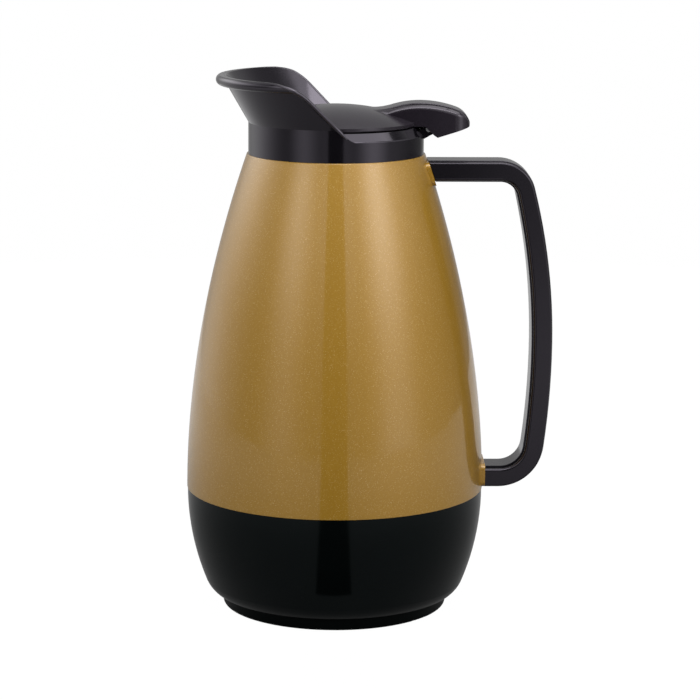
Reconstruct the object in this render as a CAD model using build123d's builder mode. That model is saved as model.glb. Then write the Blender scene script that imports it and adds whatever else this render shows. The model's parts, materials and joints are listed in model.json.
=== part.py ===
from build123d import *
from math import cos, radians, sin, sqrt, tan
import os

# Insulated carafe with a flip lid. A painted shell stands on a black base and holds a glass
# vacuum flask. A pouring collar screws into the neck and clamps the flask. The lid turns on a pin
# behind the collar, and its thumb lever opens it against a spring. The handle is a frame with a
# cover strip, screwed on from inside the shell.
# Millimetres. +Z is up, the handle points along +X and the spout along -X.
# The origin is the centre of the foot ring's underside.

os.makedirs("parts", exist_ok=True)

# ---- driving dimensions: painted shell ----
seam_height = 57.2  # where the shell meets the base
seam_radius = 70.4  # fullest radius of the shell
shell_height = 159.0  # seam to neck edge
neck_radius = 41.7
shell_draw = 1.9  # power of the curve that draws the shell in towards the neck
shell_wall = 2.2
shell_stations = 8  # spans of the side curve
neck_sleeve_length = 14.2  # thickened neck that takes the collar's skirt
neck_edge_round = 0.5
seam_edge_round = 0.3

# ---- base ----
base_ledge = 0.25  # how far the shell stands proud of the base at the seam
base_wall = 2.6
base_side_bow = 118.0  # radius of the side arc
base_turn_height = 12.0  # where the side arc meets the tighter bottom arc
base_turn_out = 6.7  # that turn outside the bottom edge
base_turn_lean = 23.0  # lean of the side at that height
base_corner_bow = 13.0
base_tuck = 15.7  # bottom edge inside the seam
base_bottom_height = 5.5
spigot_height = 2.5  # tongue that enters the shell
spigot_root = 4.0  # tongue below the seam
spigot_wall = 2.0

# ---- screw-in bottom cap and its seal ----
foot_ledge = 0.4  # foot ring inside the base's edge
foot_draft = 1.4  # how far its side leans in towards the ground
foot_width = 4.3
foot_round = 1.5
foot_edge_chamfer = 0.35
cap_floor_thickness = 2.0
cap_thread_ledge = 2.0  # thread inside the foot ring
cap_thread_length = 5.2
cap_thread_wall = 2.4
grip_bar_width = 7.0
grip_bar_recess = 0.8  # bar's underside above the ground
cap_seal_width = 2.0
cap_seal_height = 1.5
cap_seal_ledge = 1.8  # middle of the seal outside the foot ring's bore
fit_clearance = 0.15

# ---- glass vacuum flask ----
belly_clearance = 8.7  # shell's inside to the flask at the belly
glass_wall = 1.4
vacuum_gap = 4.6
neck_vacuum_gap = 2.6
mouth_clearance = 0.8  # round the collar's pouring tube
flask_neck_round = 4.0
belly_drop = 12.2  # lower end of the straight side below the seam
shoulder_share = 0.27  # where the shoulder starts, as a share of the shell's height
flask_neck_length = 14.0
bottom_depth = 28.0  # domed bottom
tip_radius = 3.6  # sealed exhaust tip
tip_length = 6.0

# ---- soft supports round the flask ----
cushion_inner_radius = 14.0
cushion_outer_radius = 35.0
soft_gap = 0.2
gasket_height = 2.6
gasket_gap = 0.3  # gasket to the pouring tube
shoulder_ring_drop = 26.0  # its top below the shell's neck edge
shoulder_ring_height = 5.0
spacer_width = 8.0
spacer_angle = 20.0
spacer_count = 3
spacer_radius = 20.0
spacer_gap = 0.15

# ---- pouring collar ----
neck_ledge = 0.7  # shell proud of the collar
rim_height = 13.2  # collar above the shell
rim_width = 4.2
rim_bevel_width = 3.4
rim_bevel_height = 3.9
rim_bevel_round = 0.8
rim_inner_round = 0.3
skirt_length = 11.6
skirt_wall = 2.2
thread_clearance = 0.3
seat_height = 4.1  # valve seat above the shell's edge
seat_width = 6.4
deck_rise = 1.9
deck_thickness = 2.2
pour_inset = 11.8  # rim's bore to the pouring hole
pour_tube_wall = 2.0
pour_tube_length = 12.3
clamp_rib_width = 3.2
clamp_rib_out = 6.0  # middle of the rib outside the pouring hole
flask_drop = 6.2  # flask's mouth below the shell's edge

# ---- spout ----
flare_start = 14.8  # above the shell's edge
flare_angle = 30.0
spout_wall = 2.0
lip_bead = 2.4  # radius of the rolled lip
lip_overhang = 1.3  # bead's middle beyond the flare's outer face
lip_fade = 5.3  # how far the bead is set forward, so that it sinks into the flare at the sides
lip_height = 34.4  # middle of the bead above the shell's edge
spout_level = 36.6  # height of the level part above the shell's edge
rim_slope = 45.6  # where the spout's edge runs down to the collar
rim_slope_share = 0.5  # where the slope would meet the level part, as a share of the collar
rim_shoulder_bow = 27.0
rim_foot_bow = 12.0
rim_foot_drop = 4.6  # foot of the slope below the rim's top
rim_edge_round = 0.6
rim_outer_round = 1.0

# ---- hinge ----
hinge_offset = 2.0  # pin centre outside the collar
hinge_drop = 0.8  # pin centre below the collar's rim
pin_radius = 1.5
pin_clearance = 0.06
press_clearance = 0.02
knuckle_radius = 3.0
knuckle_inner = 3.5  # half the gap that the spring fills
knuckle_outer = 6.1
hinge_gap = 0.3
ear_thickness = 2.8
ear_foot = 1.6  # ear's foot below its boss
ear_root = 2.6  # ear's foot inside the collar's face

# ---- lid ----
lid_overlap = 1.0  # lid's edge beyond the rim's bore
lid_gap = 0.4
lid_edge_height = 1.7
lid_dome_rise = 7.4
lid_wall = 1.9
lid_edge_round = 0.5
lever_half_width = 11.5
lever_wall = 1.8
lever_root = 23.0  # where the lever rises out of the dome, ahead of the pin
lever_crest_ahead = 3.8
lever_rise = 10.4  # crest above the collar's rim
lever_front_drop = 4.4
lever_nose_back = 13.5  # behind the pin
lever_nose_drop = 3.1
lever_tip_back = 19.0
lever_tip_drop = 9.7
skirt_front_back = 2.3  # front end of the skirts' lowest line, behind the pin
skirt_flat = 1.6
skirt_drop = 3.7  # skirts below the collar's rim
lever_round = 2.3
lever_nose_round = 7.0
pad_half_width = 7.5
pad_proud = 0.65
pad_round = 0.45
pad_nose_round = 6.3
skirt_slope = 17.4

# ---- handle ----
grip_reach = 32.0  # beyond the shell's fullest radius
handle_drop = 2.6  # handle's top below the shell's edge
handle_lift = 0.7  # handle's bottom above the seam
grip_share = 0.444  # height of the furthest point, as a share of the handle's
outer_bow_above = 290.0
outer_bow_below = 385.0
outer_corner_above = 17.0
outer_corner_below = 22.0
handle_depth = 9.9  # band face to band face
inner_bow_above = 315.0
inner_bow_below = 390.0
inner_corner_above = 8.0
inner_corner_below = 11.0
handle_width = 21.5
band_width = 14.5
band_proud_outside = 0.5
band_proud_inside = 0.8
cheek_round_outside = 0.9
cheek_round_inside = 1.3
band_round = 0.4
handle_end_chamfer = 0.4
cover_depth = 3.0
cover_clearance = 0.12
cover_ledge = 1.5  # ledges that the cover strip rests on
web_thickness = 2.8
upper_block = 19.0  # solid length that takes the screw
lower_block = 15.0
boss_proud_above = 0.3
boss_proud_below = 0.8
boss_half_width = 12.3
boss_margin = 1.6
boss_trim = 0.55
boss_round = 2.6
boss_skin = 0.15

# ---- handle screws ----
screw_radius = 1.75
screw_head_radius = 3.1
screw_head_height = 2.0
screw_length = 14.0
screw_clearance = 0.15
thread_fit = 0.05
screw_tip_gap = 1.0
washer_radius = 4.1
washer_thickness = 0.8
washer_clearance = 0.3
upper_screw_drop = 6.5  # below the handle's top
lower_screw_rise = 6.6  # above the handle's bottom
socket_radius = 1.3
socket_depth = 1.2

# ---- lid plug and seal ----
plug_overhang = 4.2  # beyond the pouring hole
plug_wall = 1.8
plug_plate = 1.8
socket_wall = 1.8  # ring on the cover that holds the plug
socket_drop = 1.5
seal_overhang = 6.0
seal_height = 2.2
seal_gap = 0.3  # seal to its seat
nose_clearance = 1.6
nose_depth = 1.4

# ---- lid spring ----
spring_wire = 0.35  # wire's radius
spring_coil = 2.4
spring_turns = 4.25
spring_pitch = 1.0
spring_arm = 8.5
rib_thickness = 1.8
rib_reach = 7.0

# ---- heights and radii that follow ----
shell_top = seam_height + shell_height
sleeve_radius = neck_radius - shell_wall
collar_radius = neck_radius - neck_ledge
rim_top = shell_top + rim_height
rim_bore = collar_radius - rim_width
deck_height = shell_top + seat_height
skirt_radius = sleeve_radius - thread_clearance
pin_x = collar_radius + hinge_offset
pin_z = rim_top - hinge_drop
cap_top = base_bottom_height
base_bottom_radius = seam_radius - base_tuck
base_turn_radius = base_bottom_radius + base_turn_out
foot_top_radius = base_bottom_radius - foot_ledge
foot_rest_radius = foot_top_radius - foot_draft
foot_inner_radius = foot_rest_radius - foot_width
cap_thread_radius = foot_inner_radius - cap_thread_ledge
cap_seal_radius = foot_inner_radius + cap_seal_ledge
pour_radius = rim_bore - pour_inset
mouth_height = shell_top - flask_drop
mouth_radius = pour_radius + pour_tube_wall + mouth_clearance
belly_radius = seam_radius - shell_wall - belly_clearance
flask_neck = mouth_radius + 2 * glass_wall + neck_vacuum_gap
belly_bottom = seam_height - belly_drop
shoulder_foot = seam_height + shoulder_share * shell_height
shoulder_rise = mouth_height - flask_neck_length - shoulder_foot
lid_radius = rim_bore + lid_overlap
lid_bottom = rim_top + lid_gap
lid_edge_top = lid_bottom + lid_edge_height
lid_apex = lid_edge_top + lid_dome_rise
lever_top = rim_top + lever_rise
lever_start = pin_x - lever_root
lever_crest = pin_x - lever_crest_ahead
lever_nose = pin_x + lever_nose_back
lever_tip = pin_x + lever_tip_back
skirt_front = pin_x + skirt_front_back
skirt_back = skirt_front + skirt_flat
skirt_low = rim_top - skirt_drop
knuckle_clear = knuckle_outer + hinge_gap
ear_outer = knuckle_clear + ear_thickness
plug_radius = pour_radius + plug_overhang
plug_bottom = deck_height + seal_gap + seal_height
handle_reach = seam_radius + grip_reach
handle_top = shell_top - handle_drop
handle_bottom = seam_height + handle_lift
grip_apex = handle_bottom + grip_share * (handle_top - handle_bottom)
arm_middle = handle_top - handle_depth / 2
upper_screw_z = handle_top - upper_screw_drop
lower_screw_z = handle_bottom + lower_screw_rise
FAR = 400.0  # beyond every surface, for cutting shapes


def shell_radius(z):
    """Outer radius of the painted shell at height z."""
    climb = (z - seam_height) / shell_height
    return seam_radius - (seam_radius - neck_radius) * climb**shell_draw


def shell_side(inset, low, high):
    """Points up the shell's side, moved in by the inset."""
    step = (high - low) / shell_stations
    heights = [low + step * i for i in range(shell_stations + 1)]
    return [(shell_radius(z) - inset, z) for z in heights]


arm_slope = (shell_radius(handle_top) - shell_radius(handle_top - handle_depth)) / handle_depth
lower_seat = shell_radius(handle_bottom + handle_depth / 2) + boss_proud_below


def upper_seat(z):
    """Distance from the axis to the upper arm's slanted end face at height z."""
    return shell_radius(arm_middle) + boss_proud_above + arm_slope * (z - arm_middle)


def ring(inner, outer, low, high):
    """Plain ring about the Z axis."""
    with BuildPart() as blank:
        with BuildSketch(Plane.XY.offset(low)):
            Circle(outer)
            if inner > 0:
                Circle(inner, mode=Mode.SUBTRACT)
        extrude(amount=high - low)
    return blank.part


def rod(radius, z, near, far):
    """Cylinder along X between two distances from the axis."""
    with BuildPart() as blank:
        with BuildSketch(Plane.YZ.offset(near)):
            with Locations((0, z)):
                Circle(radius)
        extrude(amount=far - near)
    return blank.part


def cross_rod(radius, near, far):
    """Cylinder round the hinge pin's axis, from y = near to y = far."""
    with BuildPart() as blank:
        with BuildSketch(Plane.XZ.offset(-far)):
            with Locations((pin_x, pin_z)):
                Circle(radius)
        extrude(amount=far - near)
    return blank.part


# ---- bosses for the handle ----
def boss(low, high, seat_low, seat_high, proud):
    """Flat pad on the shell between two heights, with its face at the given x at each."""
    depth = proud + shell_wall - boss_skin
    with BuildPart() as pad:
        with BuildSketch(Plane.XZ):
            with BuildLine():
                Polyline(
                    (seat_low - depth, low),
                    (seat_low, low),
                    (seat_high, high),
                    (seat_high - depth, high),
                    close=True,
                )
            make_face()
        extrude(amount=boss_half_width, both=True)
        fillet(pad.edges().filter_by(Axis.X), boss_round)
    return pad.part


upper_boss_low = handle_top - handle_depth - boss_margin
upper_boss_high = handle_top - boss_trim
lower_boss_low = handle_bottom + boss_trim
lower_boss_high = handle_bottom + handle_depth + boss_margin
upper_boss = boss(
    upper_boss_low,
    upper_boss_high,
    upper_seat(upper_boss_low),
    upper_seat(upper_boss_high),
    boss_proud_above,
)
lower_boss = boss(lower_boss_low, lower_boss_high, lower_seat, lower_seat, boss_proud_below)

# ---- painted shell ----
sleeve_bottom = shell_top - neck_sleeve_length
spot_radius = washer_radius + washer_clearance
upper_spot = shell_radius(upper_screw_z) - shell_wall
lower_bore = shell_radius(lower_screw_z) - shell_wall
lower_spot = sqrt(lower_bore**2 - spot_radius**2)
hole_radius = screw_radius + screw_clearance

with BuildPart() as body_shell:
    with BuildSketch(Plane.XZ):
        with BuildLine():
            outside = Spline(shell_side(0, seam_height, shell_top))
            inside = Spline(shell_side(shell_wall, seam_height, sleeve_bottom))
            Line(outside @ 0, inside @ 0)
            Polyline(
                inside @ 1,
                (sleeve_radius, sleeve_bottom),
                (sleeve_radius, shell_top),
                outside @ 1,
            )
        make_face()
    revolve(axis=Axis.Z)
    fillet(body_shell.edges().group_by(Axis.Z)[-1].sort_by(SortBy.RADIUS)[-1], neck_edge_round)
    fillet(body_shell.edges().group_by(Axis.Z)[0].sort_by(SortBy.RADIUS)[-1], seam_edge_round)
    add(upper_boss)
    add(lower_boss)
    add(rod(spot_radius, upper_screw_z, sleeve_radius - shell_wall, upper_spot), mode=Mode.SUBTRACT)
    add(rod(spot_radius, lower_screw_z, lower_spot - shell_wall, lower_spot), mode=Mode.SUBTRACT)
    add(rod(hole_radius, upper_screw_z, upper_spot, FAR), mode=Mode.SUBTRACT)
    add(rod(hole_radius, lower_screw_z, lower_spot, FAR), mode=Mode.SUBTRACT)

body_shell.part.label = "body_shell"
export_step(body_shell.part, "parts/body_shell.step")

# ---- base ----
base_radius = seam_radius - base_ledge
spigot_radius = seam_radius - shell_wall - fit_clearance
cap_opening = cap_thread_radius + fit_clearance


def bowl(inset):
    """Solid inside one surface of the base, moved in by the inset."""
    lean = radians(base_turn_lean)
    turn = (base_turn_radius - inset * cos(lean), base_turn_height + inset * sin(lean))
    bottom = (base_bottom_radius - inset * sin(lean), base_bottom_height + inset)
    with BuildPart() as blank:
        with BuildSketch(Plane.XZ):
            with BuildLine():
                RadiusArc((base_radius - inset, seam_height), turn, base_side_bow - inset)
                RadiusArc(turn, bottom, base_corner_bow - inset)
                Polyline(bottom, (0, base_bottom_height + inset), (0, seam_height))
                Line((0, seam_height), (base_radius - inset, seam_height))
            make_face()
        revolve(axis=Axis.Z)
    return blank.part


with BuildPart() as base_shell:
    add(bowl(0))
    add(bowl(base_wall), mode=Mode.SUBTRACT)
    add(ring(0, cap_opening, 0, seam_height), mode=Mode.SUBTRACT)
    add(
        ring(
            spigot_radius - spigot_wall,
            spigot_radius,
            seam_height - spigot_root,
            seam_height + spigot_height,
        )
    )

base_shell.part.label = "base_shell"
export_step(base_shell.part, "parts/base_shell.step")

# ---- bottom cap and seal ----
seal_inner = cap_seal_radius - cap_seal_width / 2
seal_outer = cap_seal_radius + cap_seal_width / 2
floor_bottom = cap_top - cap_floor_thickness

with BuildPart() as bottom_cap:
    with BuildSketch(Plane.XZ) as foot:
        with BuildLine():
            Polyline(
                (0, floor_bottom),
                (foot_inner_radius, floor_bottom),
                (foot_inner_radius, 0),
                (foot_rest_radius, 0),
                (foot_top_radius, cap_top),
                (0, cap_top),
                close=True,
            )
        make_face()
        outer_corners = foot.vertices().sort_by(Axis.X)[-2:]
        fillet(outer_corners.sort_by(Axis.Y)[0], foot_round)
        chamfer(outer_corners.sort_by(Axis.Y)[-1], foot_edge_chamfer)
    revolve(axis=Axis.Z)
    add(
        ring(
            cap_thread_radius - cap_thread_wall,
            cap_thread_radius,
            cap_top,
            cap_top + cap_thread_length,
        )
    )
    add(ring(seal_inner, seal_outer, cap_top - cap_seal_height, cap_top), mode=Mode.SUBTRACT)
    with BuildSketch(Plane.XY.offset(grip_bar_recess)):
        Rectangle(2 * foot_inner_radius + fit_clearance, grip_bar_width)
    extrude(until=Until.NEXT)

bottom_cap.part.label = "bottom_cap"
export_step(bottom_cap.part, "parts/bottom_cap.step")

cap_seal = ring(seal_inner, seal_outer, cap_top - cap_seal_height, cap_top)
cap_seal.label = "cap_seal"
export_step(cap_seal, "parts/cap_seal.step")


# ---- vacuum flask ----
def flask_blank(inset, neck, top):
    """Solid inside one surface of the flask, moved in from the outermost by the inset."""
    belly = belly_radius - inset
    floor = belly_bottom - bottom_depth + inset
    crown = shoulder_foot + shoulder_rise - inset
    with BuildPart() as blank:
        with BuildSketch(Plane.XZ) as half:
            with BuildLine():
                EllipticalCenterArc(
                    (0, belly_bottom), belly, belly_bottom - floor, start_angle=270, arc_size=90
                )
                Line((belly, belly_bottom), (belly, shoulder_foot))
                EllipticalCenterArc(
                    (neck, shoulder_foot),
                    belly - neck,
                    crown - shoulder_foot,
                    start_angle=0,
                    arc_size=90,
                )
                Polyline((neck, crown), (neck, top), (0, top), (0, floor))
            make_face()
            throat = half.vertices().filter_by_position(Axis.Y, crown - soft_gap, crown + soft_gap)
            fillet(throat, flask_neck_round)
        revolve(axis=Axis.Z)
    return blank.part


def flask_drop_at(radius, inset):
    """Height of the domed bottom at a radius, for the surface moved in by the inset."""
    share = radius / (belly_radius - inset)
    return belly_bottom - (bottom_depth - inset) * sqrt(1 - share**2)


def flask_shoulder(z):
    """Outer radius of the flask's shoulder at height z."""
    share = (z - shoulder_foot) / shoulder_rise
    return flask_neck + (belly_radius - flask_neck) * sqrt(1 - share**2)


lip_bottom = mouth_height - glass_wall
inner_inset = glass_wall + vacuum_gap
inner_neck = mouth_radius + glass_wall
tip_top = belly_bottom - bottom_depth + glass_wall / 2
tip_bottom = belly_bottom - bottom_depth - tip_length

with BuildPart() as outer_flask:
    add(flask_blank(0, flask_neck, lip_bottom))
    add(flask_blank(glass_wall, flask_neck - glass_wall, lip_bottom), mode=Mode.SUBTRACT)
    with BuildSketch(Plane.XZ) as tip:
        with BuildLine():
            Polyline((0, tip_top), (tip_radius, tip_top), (0, tip_bottom), close=True)
        make_face()
    revolve(axis=Axis.Z)

outer_flask.part.label = "outer_flask"
export_step(outer_flask.part, "parts/outer_flask.step")

with BuildPart() as inner_flask:
    add(flask_blank(inner_inset, inner_neck, lip_bottom))
    add(ring(0, flask_neck, lip_bottom, mouth_height))
    fillet(inner_flask.edges().group_by(Axis.Z)[-1], glass_wall / 3)
    add(flask_blank(inner_inset + glass_wall, mouth_radius, FAR), mode=Mode.SUBTRACT)

inner_flask.part.label = "inner_flask"
export_step(inner_flask.part, "parts/inner_flask.step")

# ---- spacers between the two glasses ----
pad_far = spacer_radius + spacer_width

with BuildPart() as spacer:
    with BuildSketch(Plane.XZ):
        with BuildLine():
            Polyline(
                (spacer_radius, flask_drop_at(spacer_radius, glass_wall) + spacer_gap),
                (pad_far, flask_drop_at(pad_far, glass_wall) + spacer_gap),
                (pad_far, flask_drop_at(pad_far, inner_inset) - spacer_gap),
                (spacer_radius, flask_drop_at(spacer_radius, inner_inset) - spacer_gap),
                close=True,
            )
        make_face()
    revolve(axis=Axis.Z, revolution_arc=spacer_angle)

with BuildPart() as flask_spacers:
    with PolarLocations(0, spacer_count):
        add(spacer.part)

flask_spacers.part.label = "flask_spacers"
export_step(flask_spacers.part, "parts/flask_spacers.step")

# ---- rubber cushion, shoulder ring and gasket ----
with BuildPart() as bottom_cushion:
    add(ring(cushion_inner_radius, cushion_outer_radius, cap_top, belly_bottom))
    add(flask_blank(-soft_gap, flask_neck, mouth_height), mode=Mode.SUBTRACT)

bottom_cushion.part.label = "bottom_cushion"
export_step(bottom_cushion.part, "parts/bottom_cushion.step")

ring_high = shell_top - shoulder_ring_drop
ring_low = ring_high - shoulder_ring_height

with BuildPart() as shoulder_ring:
    with BuildSketch(Plane.XZ):
        with BuildLine():
            Polyline(
                (flask_shoulder(ring_low) + soft_gap, ring_low),
                (shell_radius(ring_low) - shell_wall - soft_gap, ring_low),
                (shell_radius(ring_high) - shell_wall - soft_gap, ring_high),
                (flask_shoulder(ring_high) + soft_gap, ring_high),
                close=True,
            )
        make_face()
    revolve(axis=Axis.Z)

shoulder_ring.part.label = "shoulder_ring"
export_step(shoulder_ring.part, "parts/shoulder_ring.step")

neck_gasket = ring(
    pour_radius + pour_tube_wall + gasket_gap,
    flask_neck,
    mouth_height,
    mouth_height + gasket_height,
)
neck_gasket.label = "neck_gasket"
export_step(neck_gasket, "parts/neck_gasket.step")

# ---- collar ----
flare = tan(radians(flare_angle))
flare_z = shell_top + flare_start
bead_z = shell_top + lip_height
spout_top = bead_z + 2 * lip_bead  # above the cut that makes the spout's edge
wall_across = spout_wall / cos(radians(flare_angle))
outer_top = collar_radius + (spout_top - flare_z) * flare
inner_top = outer_top - wall_across
ledge_inner = inner_top - (spout_top - rim_top) * flare
lip_reach = collar_radius + (bead_z - flare_z) * flare + lip_overhang


def spout_room(extra):
    """Space inside the spout, widened by the extra."""
    with BuildPart() as blank:
        with BuildSketch(Plane.XZ):
            with BuildLine():
                Polyline(
                    (0, shell_top),
                    (ledge_inner + extra, shell_top),
                    (ledge_inner + extra, rim_top),
                    (inner_top + extra, spout_top),
                    (0, spout_top),
                    close=True,
                )
            make_face()
        revolve(axis=Axis.Z)
    return blank.part


# the spout's edge runs level, then down a slope to the collar's rim
level_z = shell_top + spout_level
foot_z = rim_top - rim_foot_drop
slope_run = (level_z - foot_z) / tan(radians(rim_slope))
slope_start = -rim_slope_share * collar_radius
with BuildPart() as above_edge:
    with BuildSketch(Plane.XZ) as edge_line:
        with BuildLine():
            Polyline(
                (-FAR, level_z),
                (slope_start, level_z),
                (slope_start + slope_run, foot_z),
                (FAR, foot_z),
                (FAR, FAR),
                (-FAR, FAR),
                close=True,
            )
        make_face()
        bend = (slope_start, level_z)
        foot = (slope_start + slope_run, foot_z)
        fillet(edge_line.vertices().sort_by_distance(bend)[0], rim_shoulder_bow)
        fillet(edge_line.vertices().sort_by_distance(foot)[0], rim_foot_bow)
    extrude(amount=FAR, both=True)

with BuildPart() as spout:
    with BuildSketch(Plane.XZ):
        with BuildLine():
            Polyline(
                (0, shell_top + rim_width),
                (collar_radius, shell_top + rim_width),
                (collar_radius, flare_z),
                (outer_top, spout_top),
                (0, spout_top),
                close=True,
            )
        make_face()
    revolve(axis=Axis.Z)
    add(spout_room(0), mode=Mode.SUBTRACT)
    add(above_edge.part, mode=Mode.SUBTRACT)
    edge_inside = ledge_inner + (level_z - rim_top) * flare
    fillet(spout.edges().sort_by_distance((-edge_inside, 0, level_z))[0], rim_edge_round)
    edge_outside = collar_radius + (level_z - flare_z) * flare
    fillet(spout.edges().sort_by_distance((-edge_outside, 0, level_z))[0], rim_outer_round)

with BuildPart() as lip:
    with BuildSketch(Plane.XZ):
        with Locations((-lip_reach, bead_z)):
            Circle(lip_bead)
    revolve(axis=Axis((-lip_fade, 0, 0), (0, 0, 1)))
    add(spout_room(wall_across / 2), mode=Mode.SUBTRACT)
    add(above_edge.part, mode=Mode.SUBTRACT)

clamp_rib_radius = pour_radius + clamp_rib_out
rib_inner = clamp_rib_radius - clamp_rib_width / 2
rib_outer = clamp_rib_radius + clamp_rib_width / 2
seat_radius = pour_radius + seat_width
deck_under = deck_height - deck_thickness

with BuildPart() as collar_ring:
    with BuildSketch(Plane.XZ) as section:
        with BuildLine():
            Polyline(
                (pour_radius, deck_height),
                (seat_radius, deck_height),
                (rim_bore, deck_height + deck_rise),
                (rim_bore, rim_top),
                (collar_radius - rim_bevel_width, rim_top),
                (collar_radius, rim_top - rim_bevel_height),
                (collar_radius, shell_top),
                (skirt_radius, shell_top),
                (skirt_radius, shell_top - skirt_length),
                (skirt_radius - skirt_wall, shell_top - skirt_length),
                (skirt_radius - skirt_wall, deck_under),
                (rib_outer, deck_under),
                (rib_outer, mouth_height + gasket_height),
                (rib_inner, mouth_height + gasket_height),
                (rib_inner, deck_under),
                (pour_radius + pour_tube_wall, deck_under),
                (pour_radius + pour_tube_wall, deck_height - pour_tube_length),
                (pour_radius, deck_height - pour_tube_length),
                close=True,
            )
        make_face()
        bevel_foot = (collar_radius, rim_top - rim_bevel_height)
        fillet(section.vertices().sort_by_distance(bevel_foot)[0], rim_bevel_round)
        rim_corners = section.vertices().group_by(Axis.Y)[-1].sort_by(Axis.X)
        fillet(rim_corners[-1], rim_bevel_round)
        fillet(section.vertices().sort_by_distance((rim_bore, rim_top))[0], rim_inner_round)
    revolve(axis=Axis.Z)


def ear_blank():
    """Side outline of a hinge ear: a round boss over a foot in the collar's face."""
    with BuildSketch(Plane.XZ) as outline:
        with BuildLine():
            low = pin_z - knuckle_radius - ear_foot
            bottom = (collar_radius - ear_root, low)
            Polyline(
                (collar_radius - ear_root, pin_z),
                bottom,
                (collar_radius - fit_clearance, low),
                (pin_x + knuckle_radius * cos(radians(45)), pin_z - knuckle_radius * sin(radians(45))),
                (pin_x, pin_z),
                close=True,
            )
        make_face()
        with Locations((pin_x, pin_z)):
            Circle(knuckle_radius)
    return outline.sketch


ear_face = ear_blank()
slot_radius = knuckle_radius + hinge_gap

with BuildPart() as collar:
    add(spout.part)
    add(lip.part)
    add(collar_ring.part)
    extrude(ear_face, amount=ear_outer, both=True)
    with BuildSketch(Plane.XY.offset(pin_z - slot_radius)):
        with Locations((rim_bore - rim_width, 0)):
            Rectangle(FAR, 2 * knuckle_clear, align=(Align.MIN, Align.CENTER))
    extrude(amount=FAR, mode=Mode.SUBTRACT)
    add(cross_rod(pin_radius + press_clearance, -FAR, FAR), mode=Mode.SUBTRACT)

collar.part.label = "collar"
export_step(collar.part, "parts/collar.step")

# ---- hinge pin ----
hinge_pin = cross_rod(pin_radius, -ear_outer, ear_outer)
hinge_pin.label = "hinge_pin"
export_step(hinge_pin, "parts/hinge_pin.step")


# ---- handle ----
def handle_loop(outside, inset):
    """Face inside the handle's outer or inner line, moved in towards the grip's middle."""
    sign = 1 if outside else -1
    depth = inset if outside else handle_depth - inset
    top = handle_top - depth
    bottom = handle_bottom + depth
    apex = handle_reach - depth
    bow_above = (outer_bow_above if outside else inner_bow_above) - sign * inset
    bow_below = (outer_bow_below if outside else inner_bow_below) - sign * inset
    corner_above = (outer_corner_above if outside else inner_corner_above) - sign * inset
    corner_below = (outer_corner_below if outside else inner_corner_below) - sign * inset
    above = apex - bow_above + sqrt(bow_above**2 - (top - grip_apex) ** 2)
    below = apex - bow_below + sqrt(bow_below**2 - (bottom - grip_apex) ** 2)
    with BuildSketch(Plane.XZ) as loop:
        with BuildLine():
            TangentArc((apex, grip_apex), (above, top), tangent=(0, 1))
            TangentArc((apex, grip_apex), (below, bottom), tangent=(0, -1))
            Polyline((above, top), (0, top), (0, bottom), (below, bottom))
        make_face()
        fillet(loop.vertices().sort_by_distance((above, top))[0], corner_above)
        fillet(loop.vertices().sort_by_distance((below, bottom))[0], corner_below)
    return loop.sketch


with BuildSketch(Plane.XZ) as seat_side:
    with BuildLine():
        Polyline(
            (0, 0),
            (lower_seat, 0),
            (lower_seat, grip_apex),
            (upper_seat(grip_apex), grip_apex),
            (upper_seat(rim_top), rim_top),
            (0, rim_top),
            close=True,
        )
    make_face()


with BuildSketch(Plane.XZ) as screw_blocks:
    with BuildLine():
        Polyline(
            (0, 0),
            (lower_seat + lower_block, 0),
            (lower_seat + lower_block, grip_apex),
            (upper_seat(arm_middle) + upper_block, grip_apex),
            (upper_seat(arm_middle) + upper_block, rim_top),
            (0, rim_top),
            close=True,
        )
    make_face()


def side_edges(edges, half):
    """Long edges on the two side faces of a piece."""
    return [e for e in edges if abs(abs(e.center().Y) - half) < soft_gap and e.center().X > half]


half_width = handle_width / 2
half_band = band_width / 2
upper_solid = upper_seat(arm_middle) + upper_block

with BuildPart() as handle_frame:
    extrude(handle_loop(True, band_proud_outside), amount=half_width, both=True)
    fillet(side_edges(handle_frame.edges(), half_width), cheek_round_outside)
    cheek_inside = handle_loop(False, band_proud_inside)
    extrude(cheek_inside, amount=half_width, both=True, mode=Mode.SUBTRACT)
    fillet(side_edges(handle_frame.edges(Select.LAST), half_width), cheek_round_inside)
    extrude(cheek_inside - handle_loop(False, 0), amount=half_band, both=True)
    strip_room = handle_loop(True, -cover_depth) - handle_loop(True, cover_depth)
    extrude(strip_room, amount=half_band, both=True, mode=Mode.SUBTRACT)
    extrude(seat_side.sketch, amount=handle_width, both=True, mode=Mode.SUBTRACT)
    ends = handle_frame.faces().filter_by(lambda f: f.center().X < upper_solid and abs(f.normal_at().X) > 0.9)
    chamfer(ends.edges(), handle_end_chamfer)
    hollow = handle_loop(True, cover_depth) - handle_loop(False, web_thickness)
    extrude(hollow - screw_blocks.sketch, amount=half_band - cover_ledge, both=True, mode=Mode.SUBTRACT)
    add(
        rod(
            screw_radius + thread_fit,
            upper_screw_z,
            0,
            upper_spot - washer_thickness + screw_length + screw_tip_gap,
        ),
        mode=Mode.SUBTRACT,
    )
    add(
        rod(
            screw_radius + thread_fit,
            lower_screw_z,
            0,
            lower_spot - washer_thickness + screw_length + screw_tip_gap,
        ),
        mode=Mode.SUBTRACT,
    )

handle_frame.part.label = "handle_frame"
export_step(handle_frame.part, "parts/handle_frame.step")

with BuildPart() as handle_cover:
    strip = handle_loop(True, 0) - handle_loop(True, cover_depth)
    extrude(strip - seat_side.sketch, amount=half_band - cover_clearance, both=True)
    long_edges = side_edges(handle_cover.edges(), half_band - cover_clearance)
    fillet([e for e in long_edges if e.length > handle_depth], band_round)

handle_cover.part.label = "handle_cover"
export_step(handle_cover.part, "parts/handle_cover.step")


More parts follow.
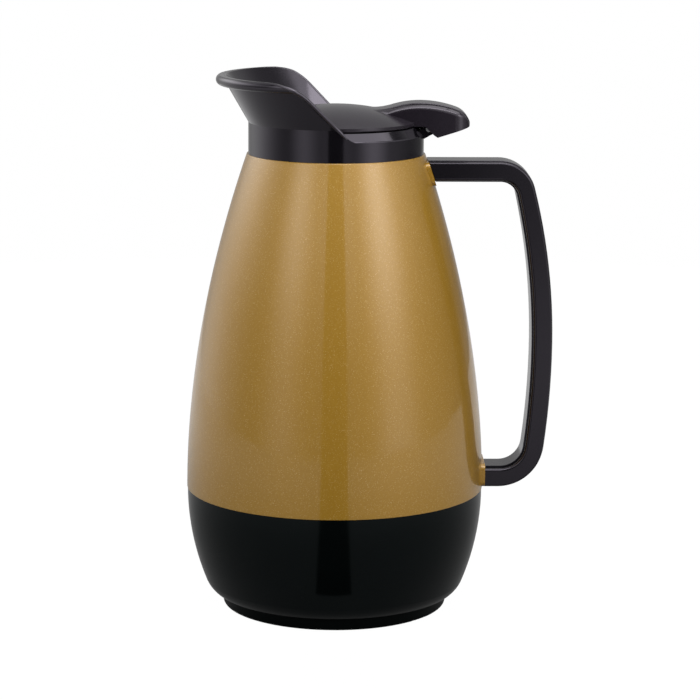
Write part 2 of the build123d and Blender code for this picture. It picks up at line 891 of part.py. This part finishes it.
# ---- handle screws and washers ----
def screw(z, spot):
    """Screw along X with its head inside the shell, under a washer's face at the spot."""
    under_head = spot - washer_thickness
    with BuildPart() as blank:
        add(rod(screw_radius, z, under_head, under_head + screw_length))
        add(rod(screw_head_radius, z, under_head - screw_head_height, under_head))
        add(
            rod(
                socket_radius,
                z,
                under_head - screw_head_height,
                under_head - screw_head_height + socket_depth,
            ),
            mode=Mode.SUBTRACT,
        )
    return blank.part


def washer(z, spot):
    """Flat washer between a screw's head and the shell."""
    with BuildPart() as blank:
        add(rod(washer_radius, z, spot - washer_thickness, spot))
        add(rod(hole_radius, z, 0, spot), mode=Mode.SUBTRACT)
    return blank.part


with BuildPart() as handle_screws:
    add(screw(upper_screw_z, upper_spot))
    add(screw(lower_screw_z, lower_spot))

handle_screws.part.label = "handle_screws"
export_step(handle_screws.part, "parts/handle_screws.step")

with BuildPart() as handle_washers:
    add(washer(upper_screw_z, upper_spot))
    add(washer(lower_screw_z, lower_spot))

handle_washers.part.label = "handle_washers"
export_step(handle_washers.part, "parts/handle_washers.step")


# ---- lid ----
def dome_blank(radius, edge, apex, floor):
    """Disc with a domed top, from the floor up."""
    with BuildPart() as blank:
        with BuildSketch(Plane.XZ):
            with BuildLine():
                TangentArc((0, apex), (radius, edge), tangent=(1, 0))
                Polyline((radius, edge), (radius, floor), (0, floor), (0, apex))
            make_face()
        revolve(axis=Axis.Z)
    return blank.part


def lever_side(inset, proud, underside):
    """Top line of the lever, moved in by the inset and up by the proud amount, and its underside."""
    crest = lever_top - inset + proud
    front = (lever_start, crest - lever_front_drop)
    tip = (lever_tip - inset + proud / 2, lever_top + proud - lever_tip_drop)
    with BuildSketch(Plane.XZ) as outline:
        with BuildLine():
            TangentArc((lever_crest, crest), front, tangent=(-1, 0))
            back = TangentArc(
                (lever_crest, crest),
                (lever_nose - inset / 2, crest - lever_nose_drop),
                tangent=(1, 0),
            )
            TangentArc(back @ 1, tip, tangent=back % 1)
            Polyline(tip, *underside(tip[0]), front)
        make_face()
    return outline.sketch


def skirt_line(tip_x):
    """Underside of the lever: up the skirts from the nose and over the collar's rim."""
    return [
        (tip_x, rim_top),
        (skirt_back, rim_top - (tip_x - skirt_back) * tan(radians(skirt_slope))),
        (skirt_front, skirt_low),
        (collar_radius, lid_bottom),
        (lever_start, lid_bottom),
    ]


def open_line(tip_x):
    """Straight down to the ground, for hollowing the lever out."""
    return [(tip_x, 0), (lever_start, 0)]


def lever_plan(half, tip, corner):
    """Lever's outline seen from above, with its nose corners rounded."""
    with BuildSketch(Plane.XY) as outline:
        with Locations((0, 0)):
            Rectangle(tip, 2 * half, align=(Align.MIN, Align.CENTER))
        fillet(outline.vertices().group_by(Axis.X)[-1], corner)
    return outline.sketch


def lever_blank(half, inset, proud, underside, corner, rounding):
    """Lever with rounded top edges and nose, or the space inside it."""
    with BuildPart() as blank:
        extrude(lever_side(inset, proud, underside), amount=half, both=True)
        tip = lever_tip - inset + proud / 2
        extrude(lever_plan(half, tip, corner), amount=FAR, mode=Mode.INTERSECT)
        if rounding > 0:
            curved = [e for e in blank.edges() if e.geom_type != GeomType.LINE]
            upper = [e for e in curved if e.center().Z > lid_edge_top]
            fillet([e for e in upper if abs(e.center().Y) > half / 3], rounding)
    return blank.part


inside_edge = lid_edge_top - lid_wall + lid_edge_round
inside_apex = lid_apex - lid_wall
inside_radius = lid_radius - lid_wall
inside_half = lever_half_width - lever_wall
holder_radius = plug_radius - plug_wall - fit_clearance
dome_drop = lid_dome_rise * (holder_radius / lid_radius) ** 2
holder_top = lid_apex - dome_drop - lid_wall / 2

knuckle_rise = lever_top - lever_wall / 2 - pin_z
rib_height = knuckle_rise - spring_coil - spring_wire - lever_wall / 2
plug_top = inside_apex - (inside_apex - inside_edge) * (plug_radius / inside_radius) ** 2 - soft_gap

with BuildPart() as knuckles:
    with BuildSketch(Plane.XZ):
        with Locations((pin_x, pin_z)):
            Circle(knuckle_radius)
            Rectangle(2 * knuckle_radius, knuckle_rise, align=(Align.CENTER, Align.MIN))
    extrude(amount=knuckle_outer, both=True)
    with BuildSketch(Plane.XZ):
        with Locations((pin_x, pin_z)):
            Rectangle(FAR, FAR)
    extrude(amount=knuckle_inner, both=True, mode=Mode.SUBTRACT)
    with BuildSketch(Plane.XZ):
        with Locations((pin_x + rib_reach, pin_z + spring_coil + spring_wire)):
            Rectangle(rib_thickness, rib_height, align=(Align.MIN, Align.MIN))
    extrude(amount=inside_half + lever_wall / 2, both=True)

with BuildPart() as lid_cover:
    add(dome_blank(lid_radius, lid_edge_top, lid_apex, lid_bottom))
    fillet(
        lid_cover.edges().filter_by(GeomType.CIRCLE).sort_by(SortBy.RADIUS)[-2:], lid_edge_round
    )
    add(lever_blank(lever_half_width, 0, 0, skirt_line, lever_nose_round, lever_round))
    add(lever_blank(pad_half_width, 0, pad_proud, skirt_line, pad_nose_round, pad_round))
    add(dome_blank(inside_radius, inside_edge, inside_apex, 0), mode=Mode.SUBTRACT)
    add(
        lever_blank(
            inside_half,
            lever_wall,
            0,
            open_line,
            lever_nose_round - lever_wall,
            0,
        ),
        mode=Mode.SUBTRACT,
    )
    add(ring(holder_radius - socket_wall, holder_radius, lid_bottom - socket_drop, holder_top))
    add(knuckles.part)
    add(cross_rod(pin_radius + pin_clearance, -knuckle_clear, knuckle_clear), mode=Mode.SUBTRACT)

lid_cover.part.label = "lid_cover"
export_step(lid_cover.part, "parts/lid_cover.step")

with BuildPart() as lid_plug:
    add(ring(0, plug_radius, plug_bottom, plug_top))
    add(ring(0, plug_radius - plug_wall, plug_bottom + plug_plate, plug_top), mode=Mode.SUBTRACT)
    add(ring(0, pour_radius - nose_clearance, deck_height - nose_depth, plug_bottom))

lid_plug.part.label = "lid_plug"
export_step(lid_plug.part, "parts/lid_plug.step")

lid_seal = ring(
    pour_radius - nose_clearance,
    pour_radius + seal_overhang,
    plug_bottom - seal_height,
    plug_bottom,
)
lid_seal.label = "lid_seal"
export_step(lid_seal, "parts/lid_seal.step")

# ---- lid spring: a coil round the pin, one leg under the lever's rib, one on the collar ----
coil_half = spring_turns * spring_pitch / 2

with BuildPart() as lid_spring:
    with BuildLine() as wire:
        coil = Helix(
            spring_pitch,
            2 * coil_half,
            spring_coil,
            center=(pin_x, -coil_half, pin_z),
            direction=(0, 1, 0),
            lefthand=True,
        )
        Line(coil @ 0 - (coil % 0) * spring_arm, coil @ 0)
        Line(coil @ 1, coil @ 1 + (coil % 1) * slot_radius)
    start = coil @ 0 - (coil % 0) * spring_arm
    with BuildSketch(Plane(origin=start, z_dir=coil % 0)):
        Circle(spring_wire)
    sweep(path=wire.wires()[0])

lid_spring.part.label = "lid_spring"
export_step(lid_spring.part, "parts/lid_spring.step")
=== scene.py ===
import bpy
import json
import math
import numpy as np
from mathutils import Euler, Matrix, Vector


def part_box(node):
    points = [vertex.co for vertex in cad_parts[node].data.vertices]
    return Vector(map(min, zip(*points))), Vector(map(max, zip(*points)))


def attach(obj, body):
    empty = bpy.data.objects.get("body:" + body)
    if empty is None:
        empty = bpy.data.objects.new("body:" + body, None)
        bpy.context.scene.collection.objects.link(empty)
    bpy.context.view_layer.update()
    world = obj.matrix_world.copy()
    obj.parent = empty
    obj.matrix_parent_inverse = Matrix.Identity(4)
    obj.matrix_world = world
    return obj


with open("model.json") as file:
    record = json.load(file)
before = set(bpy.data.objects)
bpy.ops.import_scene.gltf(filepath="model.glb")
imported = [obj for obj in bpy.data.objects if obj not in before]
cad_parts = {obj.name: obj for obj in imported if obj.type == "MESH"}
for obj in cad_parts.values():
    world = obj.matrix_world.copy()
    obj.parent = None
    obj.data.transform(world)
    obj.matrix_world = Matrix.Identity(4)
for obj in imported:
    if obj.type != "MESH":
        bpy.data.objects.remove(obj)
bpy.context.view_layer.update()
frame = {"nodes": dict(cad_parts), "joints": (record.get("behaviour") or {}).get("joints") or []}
scene = bpy.context.scene
nodes = frame["nodes"]
MM = 0.001


# ---- shader helpers ----
class Value:
    """A shader socket that takes part in ordinary arithmetic."""

    def __init__(self, shader, socket):
        self.shader = shader
        self.socket = socket

    def math(self, operation, *others, flip=False):
        terms = [self, *others]
        if flip:
            terms.reverse()
        node = self.shader.tree.nodes.new("ShaderNodeMath")
        node.operation = operation
        for slot, term in zip(node.inputs, terms):
            self.shader.feed(slot, term)
        return Value(self.shader, node.outputs[0])

    def __add__(self, other):
        return self.math("ADD", other)

    __radd__ = __add__

    def __mul__(self, other):
        return self.math("MULTIPLY", other)

    __rmul__ = __mul__

    def __sub__(self, other):
        return self.math("SUBTRACT", other)

    def __rsub__(self, other):
        return self.math("SUBTRACT", other, flip=True)

    def ramp(self, low, high):
        """0 below low, 1 above high, smooth between."""
        return self.shader.add(
            "ShaderNodeMapRange",
            {"interpolation_type": "SMOOTHSTEP"},
            Value=self,
            From_Min=low,
            From_Max=high,
        )


class Shader:
    """The nodes of one material, or of the world, written as expressions."""

    def __init__(self, name, world=False):
        kind = bpy.data.worlds if world else bpy.data.materials
        self.material = kind.new(name)
        self.material.use_nodes = True
        self.tree = self.material.node_tree
        self.surface = self.tree.nodes["Background" if world else "Principled BSDF"]

    def feed(self, slot, value):
        if isinstance(value, Value):
            self.tree.links.new(value.socket, slot)
        elif isinstance(value, (tuple, list)) and len(value) == 3 and slot.type == "RGBA":
            slot.default_value = (*value, 1)
        else:
            slot.default_value = value

    def add(self, kind, settings=None, out=0, **sockets):
        """A node of this kind with its settings and its sockets filled."""
        node = self.tree.nodes.new(kind)
        for key, value in (settings or {}).items():
            setattr(node, key, value)
        for key, value in sockets.items():
            self.feed(node.inputs[key.replace("_", " ")], value)
        return Value(self, node.outputs[out])

    def place(self):
        """Position in the object's own space."""
        return self.add("ShaderNodeTexCoord", out="Object")

    def noise(self, scale, detail=2.0, rough=0.5):
        return self.add(
            "ShaderNodeTexNoise",
            Vector=self.place(),
            Scale=scale,
            Detail=detail,
            Roughness=rough,
        )

    def cells(self, scale, out="Distance"):
        return self.add("ShaderNodeTexVoronoi", Vector=self.place(), Scale=scale, out=out)

    def mix(self, factor, a, b):
        """Colour a at 0, colour b at 1."""
        node = self.tree.nodes.new("ShaderNodeMix")
        node.data_type = "RGBA"
        self.feed(node.inputs[0], factor)
        self.feed(node.inputs[6], a)
        self.feed(node.inputs[7], b)
        return Value(self, node.outputs[2])

    def bump(self, height, strength, distance):
        return self.add(
            "ShaderNodeBump", Height=height, Strength=strength, Distance=distance
        )

    def background_rays(self, mirrored=0.65):
        """1 for rays that show the background straight, less in a mirror or through glass."""
        seen, glossy, clear = (
            self.add("ShaderNodeLightPath", out=kind)
            for kind in ("Is Camera Ray", "Is Glossy Ray", "Is Transmission Ray")
        )
        return seen.math("MAXIMUM", glossy.math("MAXIMUM", clear) * mirrored)

    def set(self, **sockets):
        for key, value in sockets.items():
            self.feed(self.surface.inputs[key.replace("_", " ")], value)
        return self


def dress(shader, *names):
    """Puts the material on CAD nodes."""
    for name in names:
        mesh = nodes[name].data
        mesh.materials.clear()
        mesh.materials.append(shader.material)


def add_piece(name, data, finish, body):
    """A piece made here, in this finish, that rides with a body of the frame."""
    data.materials.append(finish.material)
    piece = bpy.data.objects.new(name, data)
    scene.collection.objects.link(piece)
    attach(piece, body)


# ---- materials ----
def gold_paint():
    """Gold paint full of fine flakes under a polished clear coat."""
    s = Shader("gold_paint")
    flakes = s.cells(4200, out="Color")
    pick = s.add("ShaderNodeSeparateColor", Color=flakes, out=0)
    cloud = s.noise(900, detail=3)
    tone = s.mix(cloud, (0.296, 0.153, 0.0097), (0.349, 0.189, 0.0145))
    tone = s.mix(pick.ramp(0.9, 1.0) * 0.35, tone, (0.75, 0.55, 0.25))
    s.set(
        Base_Color=tone,
        Metallic=0.2,
        Roughness=0.34 + 0.1 * cloud,
        Specular_IOR_Level=0.4,
        Coat_Weight=0.75,
        Coat_Roughness=0.06,
        Normal=s.bump(pick, 0.1, 0.0002),
    )
    return s


def black_plastic(name, tone, rough, shine, tint, speck=0.02):
    """Dark moulded plastic with a polished skin and faint handling marks."""
    s = Shader(name)
    cloud = s.noise(60, detail=4)
    grain = s.noise(1400, detail=2)
    light = tuple(c * 1.7 for c in tone)
    s.set(
        Base_Color=s.mix(cloud, tone, light),
        Roughness=rough + (cloud - 0.5) * 0.06 + (grain - 0.5) * speck,
        Specular_IOR_Level=shine,
        Specular_Tint=(*tint, 1),
        Normal=s.bump(grain, 0.05, 0.00005),
    )
    return s


def rubber(name, tone):
    s = Shader(name)
    cloud = s.noise(300, detail=3)
    light = tuple(min(1, c * 1.4) for c in tone)
    s.set(
        Base_Color=s.mix(cloud, tone, light),
        Roughness=0.6 + 0.2 * cloud,
        Normal=s.bump(cloud, 0.2, 0.0001),
    )
    return s


def metal(name, tone, rough):
    s = Shader(name)
    cloud = s.noise(500, detail=3)
    dark = tuple(c * 0.8 for c in tone)
    s.set(Base_Color=s.mix(cloud, dark, tone), Metallic=1.0, Roughness=rough + 0.15 * cloud)
    return s


def silvered(name, rough):
    s = Shader(name)
    cloud = s.noise(40, detail=3)
    s.set(
        Base_Color=s.mix(cloud, (0.74, 0.75, 0.78), (0.86, 0.87, 0.89)),
        Metallic=1.0,
        Roughness=rough + 0.05 * cloud,
        Coat_Weight=1.0,
        Coat_Roughness=0.02,
    )
    return s


def fibre():
    s = Shader("pad_fibre")
    strands = s.noise(1200, detail=5, rough=0.7)
    s.set(
        Base_Color=s.mix(strands, (0.45, 0.42, 0.35), (0.62, 0.6, 0.52)),
        Roughness=0.9,
        Normal=s.bump(strands, 0.4, 0.0002),
    )
    return s


dress(gold_paint(), "body_shell")
COOL = (0.85, 0.97, 1.0)
VIOLET = (0.93, 0.85, 1.0)
cool_black = (0.0010, 0.0016, 0.0016)
warm_black = (0.0034, 0.0030, 0.0040)
lid_black = (0.0062, 0.0044, 0.0072)
lid_plastic = black_plastic("lid_plastic", lid_black, 0.22, 0.64, (0.96, 0.9, 1.0))
dress(black_plastic("base_plastic", cool_black, 0.12, 0.16, COOL), "base_shell")
dress(black_plastic("cap_plastic", cool_black, 0.3, 0.06, COOL, 0.06), "bottom_cap")
collar_plastic = black_plastic("collar_plastic", warm_black, 0.12, 0.6, VIOLET)
dress(collar_plastic, "collar")
edge_plastic = black_plastic("edge_plastic", warm_black, 0.3, 1.0, VIOLET)
dress(black_plastic("handle_plastic", warm_black, 0.18, 0.5, VIOLET), "handle_frame")
dress(black_plastic("cover_plastic", warm_black, 0.18, 0.5, VIOLET), "handle_cover")
dress(lid_plastic, "lid_cover")
dress(black_plastic("plug_plastic", (0.012, 0.012, 0.0125), 0.45, 0.4, COOL, 0.08), "lid_plug")
dress(rubber("seal_rubber", (0.02, 0.02, 0.02)), "cap_seal")
dress(rubber("cushion_rubber", (0.03, 0.03, 0.03)), "bottom_cushion", "shoulder_ring")
dress(rubber("silicone", (0.5, 0.5, 0.47)), "neck_gasket", "lid_seal")
dress(silvered("silvered_glass", 0.08), "outer_flask")
dress(silvered("flask_glass", 0.05), "inner_flask")
dress(fibre(), "flask_spacers")
dress(metal("screw_steel", (0.56, 0.57, 0.58), 0.28), "handle_screws", "handle_washers")
dress(metal("pin_steel", (0.6, 0.6, 0.61), 0.2), "hinge_pin")
dress(metal("spring_steel", (0.48, 0.48, 0.5), 0.3), "lid_spring")

# ---- where the lid's dome sweeps up into its lever ----
def smooth_max(a, b, reach):
    """The larger of two heights, with the crease between them filled over the reach."""
    near = max(reach - abs(a - b), 0) / reach
    return max(a, b) + near * near * reach / 4


def lid_top(x, y):
    """Heights of the dome and of the lever's back at a place, as on the lid's cover."""
    dome_rise = 7.4 * MM
    edge_below_top = 8.95 * MM
    crest_ahead_of_pin = 3.8 * MM
    back_radius = 44.1 * MM
    pad_raise = 0.65 * MM
    pad_half_width = 7.5 * MM
    corner_start = 9.2 * MM
    corner_radius = 2.3 * MM

    low, high = lid_box
    edge = high.z - edge_below_top
    reach = -low.x
    ball = (reach * reach + dome_rise * dome_rise) / (2 * dome_rise)
    dome = edge + dome_rise - ball + math.sqrt(ball * ball - x * x - y * y)

    crest_x = frame["joints"][0]["pos_m"][0] - crest_ahead_of_pin
    drop_squared = max(back_radius * back_radius - (x - crest_x) ** 2, 0)
    back = high.z - pad_raise - back_radius + math.sqrt(drop_squared)
    if abs(y) < pad_half_width:
        back += pad_raise
    beyond = max(abs(y) - corner_start, 0)
    back -= corner_radius - math.sqrt(max(corner_radius * corner_radius - beyond * beyond, 0))
    return dome, back


def saddle():
    """A thin closed skin that fills the crease between the dome and the lever."""
    columns, rows = 60, 60
    front_x, back_x, half_width = 13 * MM, 33 * MM, 11.4 * MM
    side_reach, added_reach = 0.2 * MM, 3.6 * MM
    fade_start, fade_width = 9 * MM, 2.4 * MM
    set_in, thickness = 0.05 * MM, 0.6 * MM

    top = []
    for i in range(columns + 1):
        for j in range(rows + 1):
            x = front_x + (back_x - front_x) * i / columns
            y = half_width * (2 * j / rows - 1)
            dome, back = lid_top(x, y)
            fade = 1 - min(max((abs(y) - fade_start) / fade_width, 0), 1)
            top.append((x, y, smooth_max(dome, back, side_reach + added_reach * fade) - set_in))
    under = [(x, y, z - thickness) for x, y, z in top]

    count = len(top)
    step = rows + 1
    faces = []
    for i in range(columns):
        for j in range(rows):
            a = i * step + j
            b = a + step
            faces.append((a, b, b + 1, a + 1))
            faces.append((count + a, count + a + 1, count + b + 1, count + b))
    rim = [(i * step, (i + 1) * step) for i in range(columns)]
    rim += [(columns * step + j, columns * step + j + 1) for j in range(rows)]
    rim += [((i + 1) * step + rows, i * step + rows) for i in range(columns)]
    rim += [(j + 1, j) for j in range(rows)]
    faces += [(b, a, count + a, count + b) for a, b in rim]

    mesh = bpy.data.meshes.new("lid_saddle")
    mesh.from_pydata(top + under, [], faces)
    mesh.shade_smooth()
    add_piece("lid_saddle", mesh, lid_plastic, "lid")


lid_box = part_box("lid_cover")
saddle()


# ---- rolled edges that run down the slopes of the spout ----
# Well clear of the collar, where the rays that look for its surface start.
ABOVE = 300 * MM
OUTSIDE = 60 * MM


def crest_height(collar, x, side):
    """The highest point of the slope's wall at this x."""
    first, step, count = 36 * MM, 0.1 * MM, 150
    down = Vector((0, 0, -1))
    starts = [Vector((x, side * (first + step * j), ABOVE)) for j in range(count)]
    hits = [collar.ray_cast(start, down) for start in starts]
    return max(at.z for hit, at, _, _ in hits if hit)


def wall_outside(collar, x, z, side):
    """How far out the wall reaches at this x, just under the height z."""
    step = 0.1 * MM
    inward = Vector((0, -side, 0))
    starts = [Vector((x, side * OUTSIDE, z - step * j)) for j in range(2, 12)]
    hits = [collar.ray_cast(start, inward) for start in starts]
    return max(abs(at.y) for hit, at, _, _ in hits if hit)


def evened(values):
    """The values with their small steps averaged out, and their ends kept."""
    window = 7
    padded = np.pad(values, window // 2, mode="reflect", reflect_type="odd")
    return np.convolve(padded, np.ones(window) / window, "valid")


def rolled_edge(name, side):
    """A bead on the outer corner of a slope, from the lip to the foot of the rim's bevel."""
    lip_x, bend_x, foot_x = -30 * MM, -1 * MM, 4.4 * MM
    fall_after_bend = 1.02
    bead_radius = 0.9 * MM
    sunk_in, sunk_down = 0.25 * MM, 0.45 * MM
    count = 72
    lip_share, lip_steps = 0.2, 24
    foot_share, foot_steps = 0.3, 8

    collar = nodes["collar"]
    xs, ys, zs = [], [], []
    for i in range(count + 1):
        x = lip_x + (foot_x - lip_x) * i / count
        if x < bend_x:
            z = crest_height(collar, x, side)
            last_x, last_z = x, z
        else:
            z = last_z - fall_after_bend * (x - last_x)
        xs.append(x)
        ys.append(wall_outside(collar, x, z, side) - sunk_in)
        zs.append(z - sunk_down)
    ys, zs = evened(ys), evened(zs)

    curve = bpy.data.curves.new(name, "CURVE")
    curve.dimensions = "3D"
    spline = curve.splines.new("POLY")
    spline.points.add(count)
    for i, point in enumerate(spline.points):
        point.co = (xs[i], side * ys[i], zs[i], 1)
        grown = lip_share + i / lip_steps
        shrunk = foot_share + (count - i) / foot_steps
        point.radius = min(grown, shrunk, 1)
    curve.bevel_depth = bead_radius
    curve.bevel_resolution = 5
    curve.use_fill_caps = True
    add_piece(name, curve, edge_plastic, "carafe")


rolled_edge("spout_edge_near", -1)
rolled_edge("spout_edge_far", 1)

for node in nodes.values():
    node.data.shade_smooth()


# ---- camera ----
camera_spot = Vector((-19.37, -1260.15, 366.57)) * MM
camera_tilt, camera_swing, camera_roll = (math.radians(a) for a in (79.034, -1.2, 0.308))
focal_length, sensor_width = 139.26, 36

lens = bpy.data.cameras.new("Camera")
lens.lens = focal_length
lens.sensor_width = sensor_width
lens.clip_start = 0.05
lens.clip_end = 50
camera = bpy.data.objects.new("Camera", lens)
camera.location = camera_spot
turn = Euler((camera_tilt, 0, camera_swing), "XYZ").to_matrix()
roll = Euler((0, 0, camera_roll), "XYZ").to_matrix()
camera.rotation_mode = "XYZ"
camera.rotation_euler = (turn @ roll).to_euler("XYZ")
scene.collection.objects.link(camera)
scene.camera = camera


# ---- lamps ----
def softbox(name, place, aim, width, height, glow):
    """A rectangular soft lamp pointing at the aim, as bright as its glow all over."""
    lamp = bpy.data.lights.new(name, "AREA")
    lamp.shape = "RECTANGLE"
    lamp.size = width
    lamp.size_y = height
    lamp.energy = glow * math.pi * width * height
    holder = bpy.data.objects.new(name, lamp)
    holder.location = place
    holder.rotation_mode = "QUATERNION"
    holder.rotation_quaternion = (Vector(aim) - Vector(place)).to_track_quat("-Z", "Y")
    holder.visible_camera = False
    scene.collection.objects.link(holder)


def around(angle, distance, height):
    """A point at an angle from the front, positive towards the handle's side."""
    a = math.radians(angle)
    return (distance * math.sin(a), -distance * math.cos(a), height)


softbox("top", (0.35, -0.1, 1.4), (0.2, 0, 0.1), 1.9, 1.2, 1.9)
softbox("front_top", (0.1, -0.9, 1.3), (0, 0, 0.2), 1.2, 0.6, 4.4)


def bump_at(value, middle, reach):
    """1 at the middle, falling smoothly to 0 at the reach on each side."""
    return 1 - (value - middle).math("ABSOLUTE").ramp(0.0, reach)


def strips(angle, base, *lit):
    """A base glow and soft strips on it, each its glow, middle and reach in degrees."""
    glow = base
    for strength, middle, reach in lit:
        glow = glow + strength * bump_at(angle, middle, reach)
    return glow


def tent_wall():
    """Emission that glows softest between the soft lamps behind the cloth."""
    s = Shader("tent_cloth")
    split = s.tree.nodes.new("ShaderNodeSeparateXYZ")
    s.feed(split.inputs[0], s.place())
    x, y, z = (Value(s, end) for end in split.outputs)
    angle = x.math("ARCTAN2", 0 - y) * (180 / math.pi)
    right = strips(angle, 0.45, (3.6, 47, 28), (1.0, 66, 50), (1.0, 12, 24))
    left = strips(angle, 0.85, (2.2, -42, 24), (2.4, -118, 50), (0.4, -12, 24))
    side = angle.ramp(-1, 1)
    lamp_height, lamp_spread, low_share = 0.68, 0.5, 0.3
    upright = low_share + (1 - low_share) * bump_at(z, lamp_height, lamp_spread)
    front = (left + side * (right - left)) * upright
    back_glow = 0.42
    back = angle.math("ABSOLUTE").ramp(140, 165)
    glow = front + back * (back_glow - front)
    s.set(Base_Color=(0, 0, 0), Specular_IOR_Level=0.0, Emission_Strength=1.0)
    colour = s.add("ShaderNodeCombineColor", Red=glow, Green=glow, Blue=glow)
    s.set(Emission_Color=colour)
    return s


def tent(name, start, end, radius, height):
    """A curved upright sheet round the carafe, from one angle to another."""
    count = 48
    corners = []
    for i in range(count + 1):
        foot = around(start + (end - start) * i / count, radius, 0.0)
        corners += [foot, (foot[0], foot[1], height)]
    faces = [(2 * i, 2 * i + 1, 2 * i + 3, 2 * i + 2) for i in range(count)]
    mesh = bpy.data.meshes.new(name)
    mesh.from_pydata(corners, [], faces)
    mesh.materials.append(cloth.material)
    sheet = bpy.data.objects.new(name, mesh)
    sheet.visible_camera = False
    scene.collection.objects.link(sheet)


cloth = tent_wall()
tent("tent_right", 8.0, 180.0, 1.05, 1.5)
tent("tent_left", -180.0, -10.5, 1.05, 1.5)

# ---- floor and background ----
ground = bpy.data.meshes.new("floor")
ground.from_pydata([(-4, -4, 0), (4, -4, 0), (4, 4, 0), (-4, 4, 0)], [], [(0, 1, 2, 3)])
floor = bpy.data.objects.new("floor", ground)
floor.location.z = -0.0002
scene.collection.objects.link(floor)
paper = Shader("paper")
grain = paper.noise(30, detail=3)
paper.set(Base_Color=paper.mix(grain, (0.14, 0.14, 0.14), (0.17, 0.17, 0.17)), Roughness=0.9)
white = paper.add("ShaderNodeEmission", Color=(1, 1, 1), Strength=1.08)
blend = paper.tree.nodes.new("ShaderNodeMixShader")
away = paper.add(
    "ShaderNodeVectorMath", {"operation": "LENGTH"}, out="Value", Vector=paper.place()
)
# Painted shade: in reflections the floor shows much darker close to the carafe than further out,
# a dark patch painted round its foot that stands in for the carafe's contact shadow and dark
# reflection on the floor.
painted_shade_mirrored_near, mirrored_far = 0.08, 0.65
mirrored = painted_shade_mirrored_near + (mirrored_far - painted_shade_mirrored_near) * away.ramp(0.1, 0.6)
white_share = 0.92
paper.feed(blend.inputs[0], paper.background_rays(mirrored) * white_share)
paper.tree.links.new(paper.surface.outputs[0], blend.inputs[1])
paper.tree.links.new(white.socket, blend.inputs[2])
paper.tree.links.new(blend.outputs[0], paper.tree.nodes["Material Output"].inputs[0])
paper.material.cycles.emission_sampling = "NONE"
ground.materials.append(paper.material)

air = Shader("studio_air", world=True)
scene.world = air.material
air.set(Color=(1, 1, 1), Strength=0.12 + 0.88 * air.background_rays())


def flag(name, angle, width, near, far, high):
    """A black card, bent like an L, that keeps one strip of the room out of reflections."""
    card = bpy.data.meshes.new(name)
    turn = math.radians(angle)
    across = Vector((math.cos(turn), math.sin(turn), 0)) * width / 2
    steps = [(near, 0.0, near / far), (far, 0.0, 1.0), (far, high, 1.0)]
    corners = [
        Vector(around(angle, out, z)) + side * share * across
        for out, z, share in steps
        for side in (-1, 1)
    ]
    card.from_pydata(corners, [], [(0, 1, 3, 2), (2, 3, 5, 4)])
    card.materials.append(black_cloth.material)
    holder = bpy.data.objects.new(name, card)
    holder.visible_camera = False
    holder.visible_shadow = False
    scene.collection.objects.link(holder)


black_cloth = Shader("black_cloth")
black_cloth.set(Base_Color=(0.01, 0.01, 0.01), Roughness=0.9, Specular_IOR_Level=0.0)
flag("camera_flag", -1.2, 0.34, 0.08, 1.0, 1.4)

scene.view_settings.view_transform = "Standard"
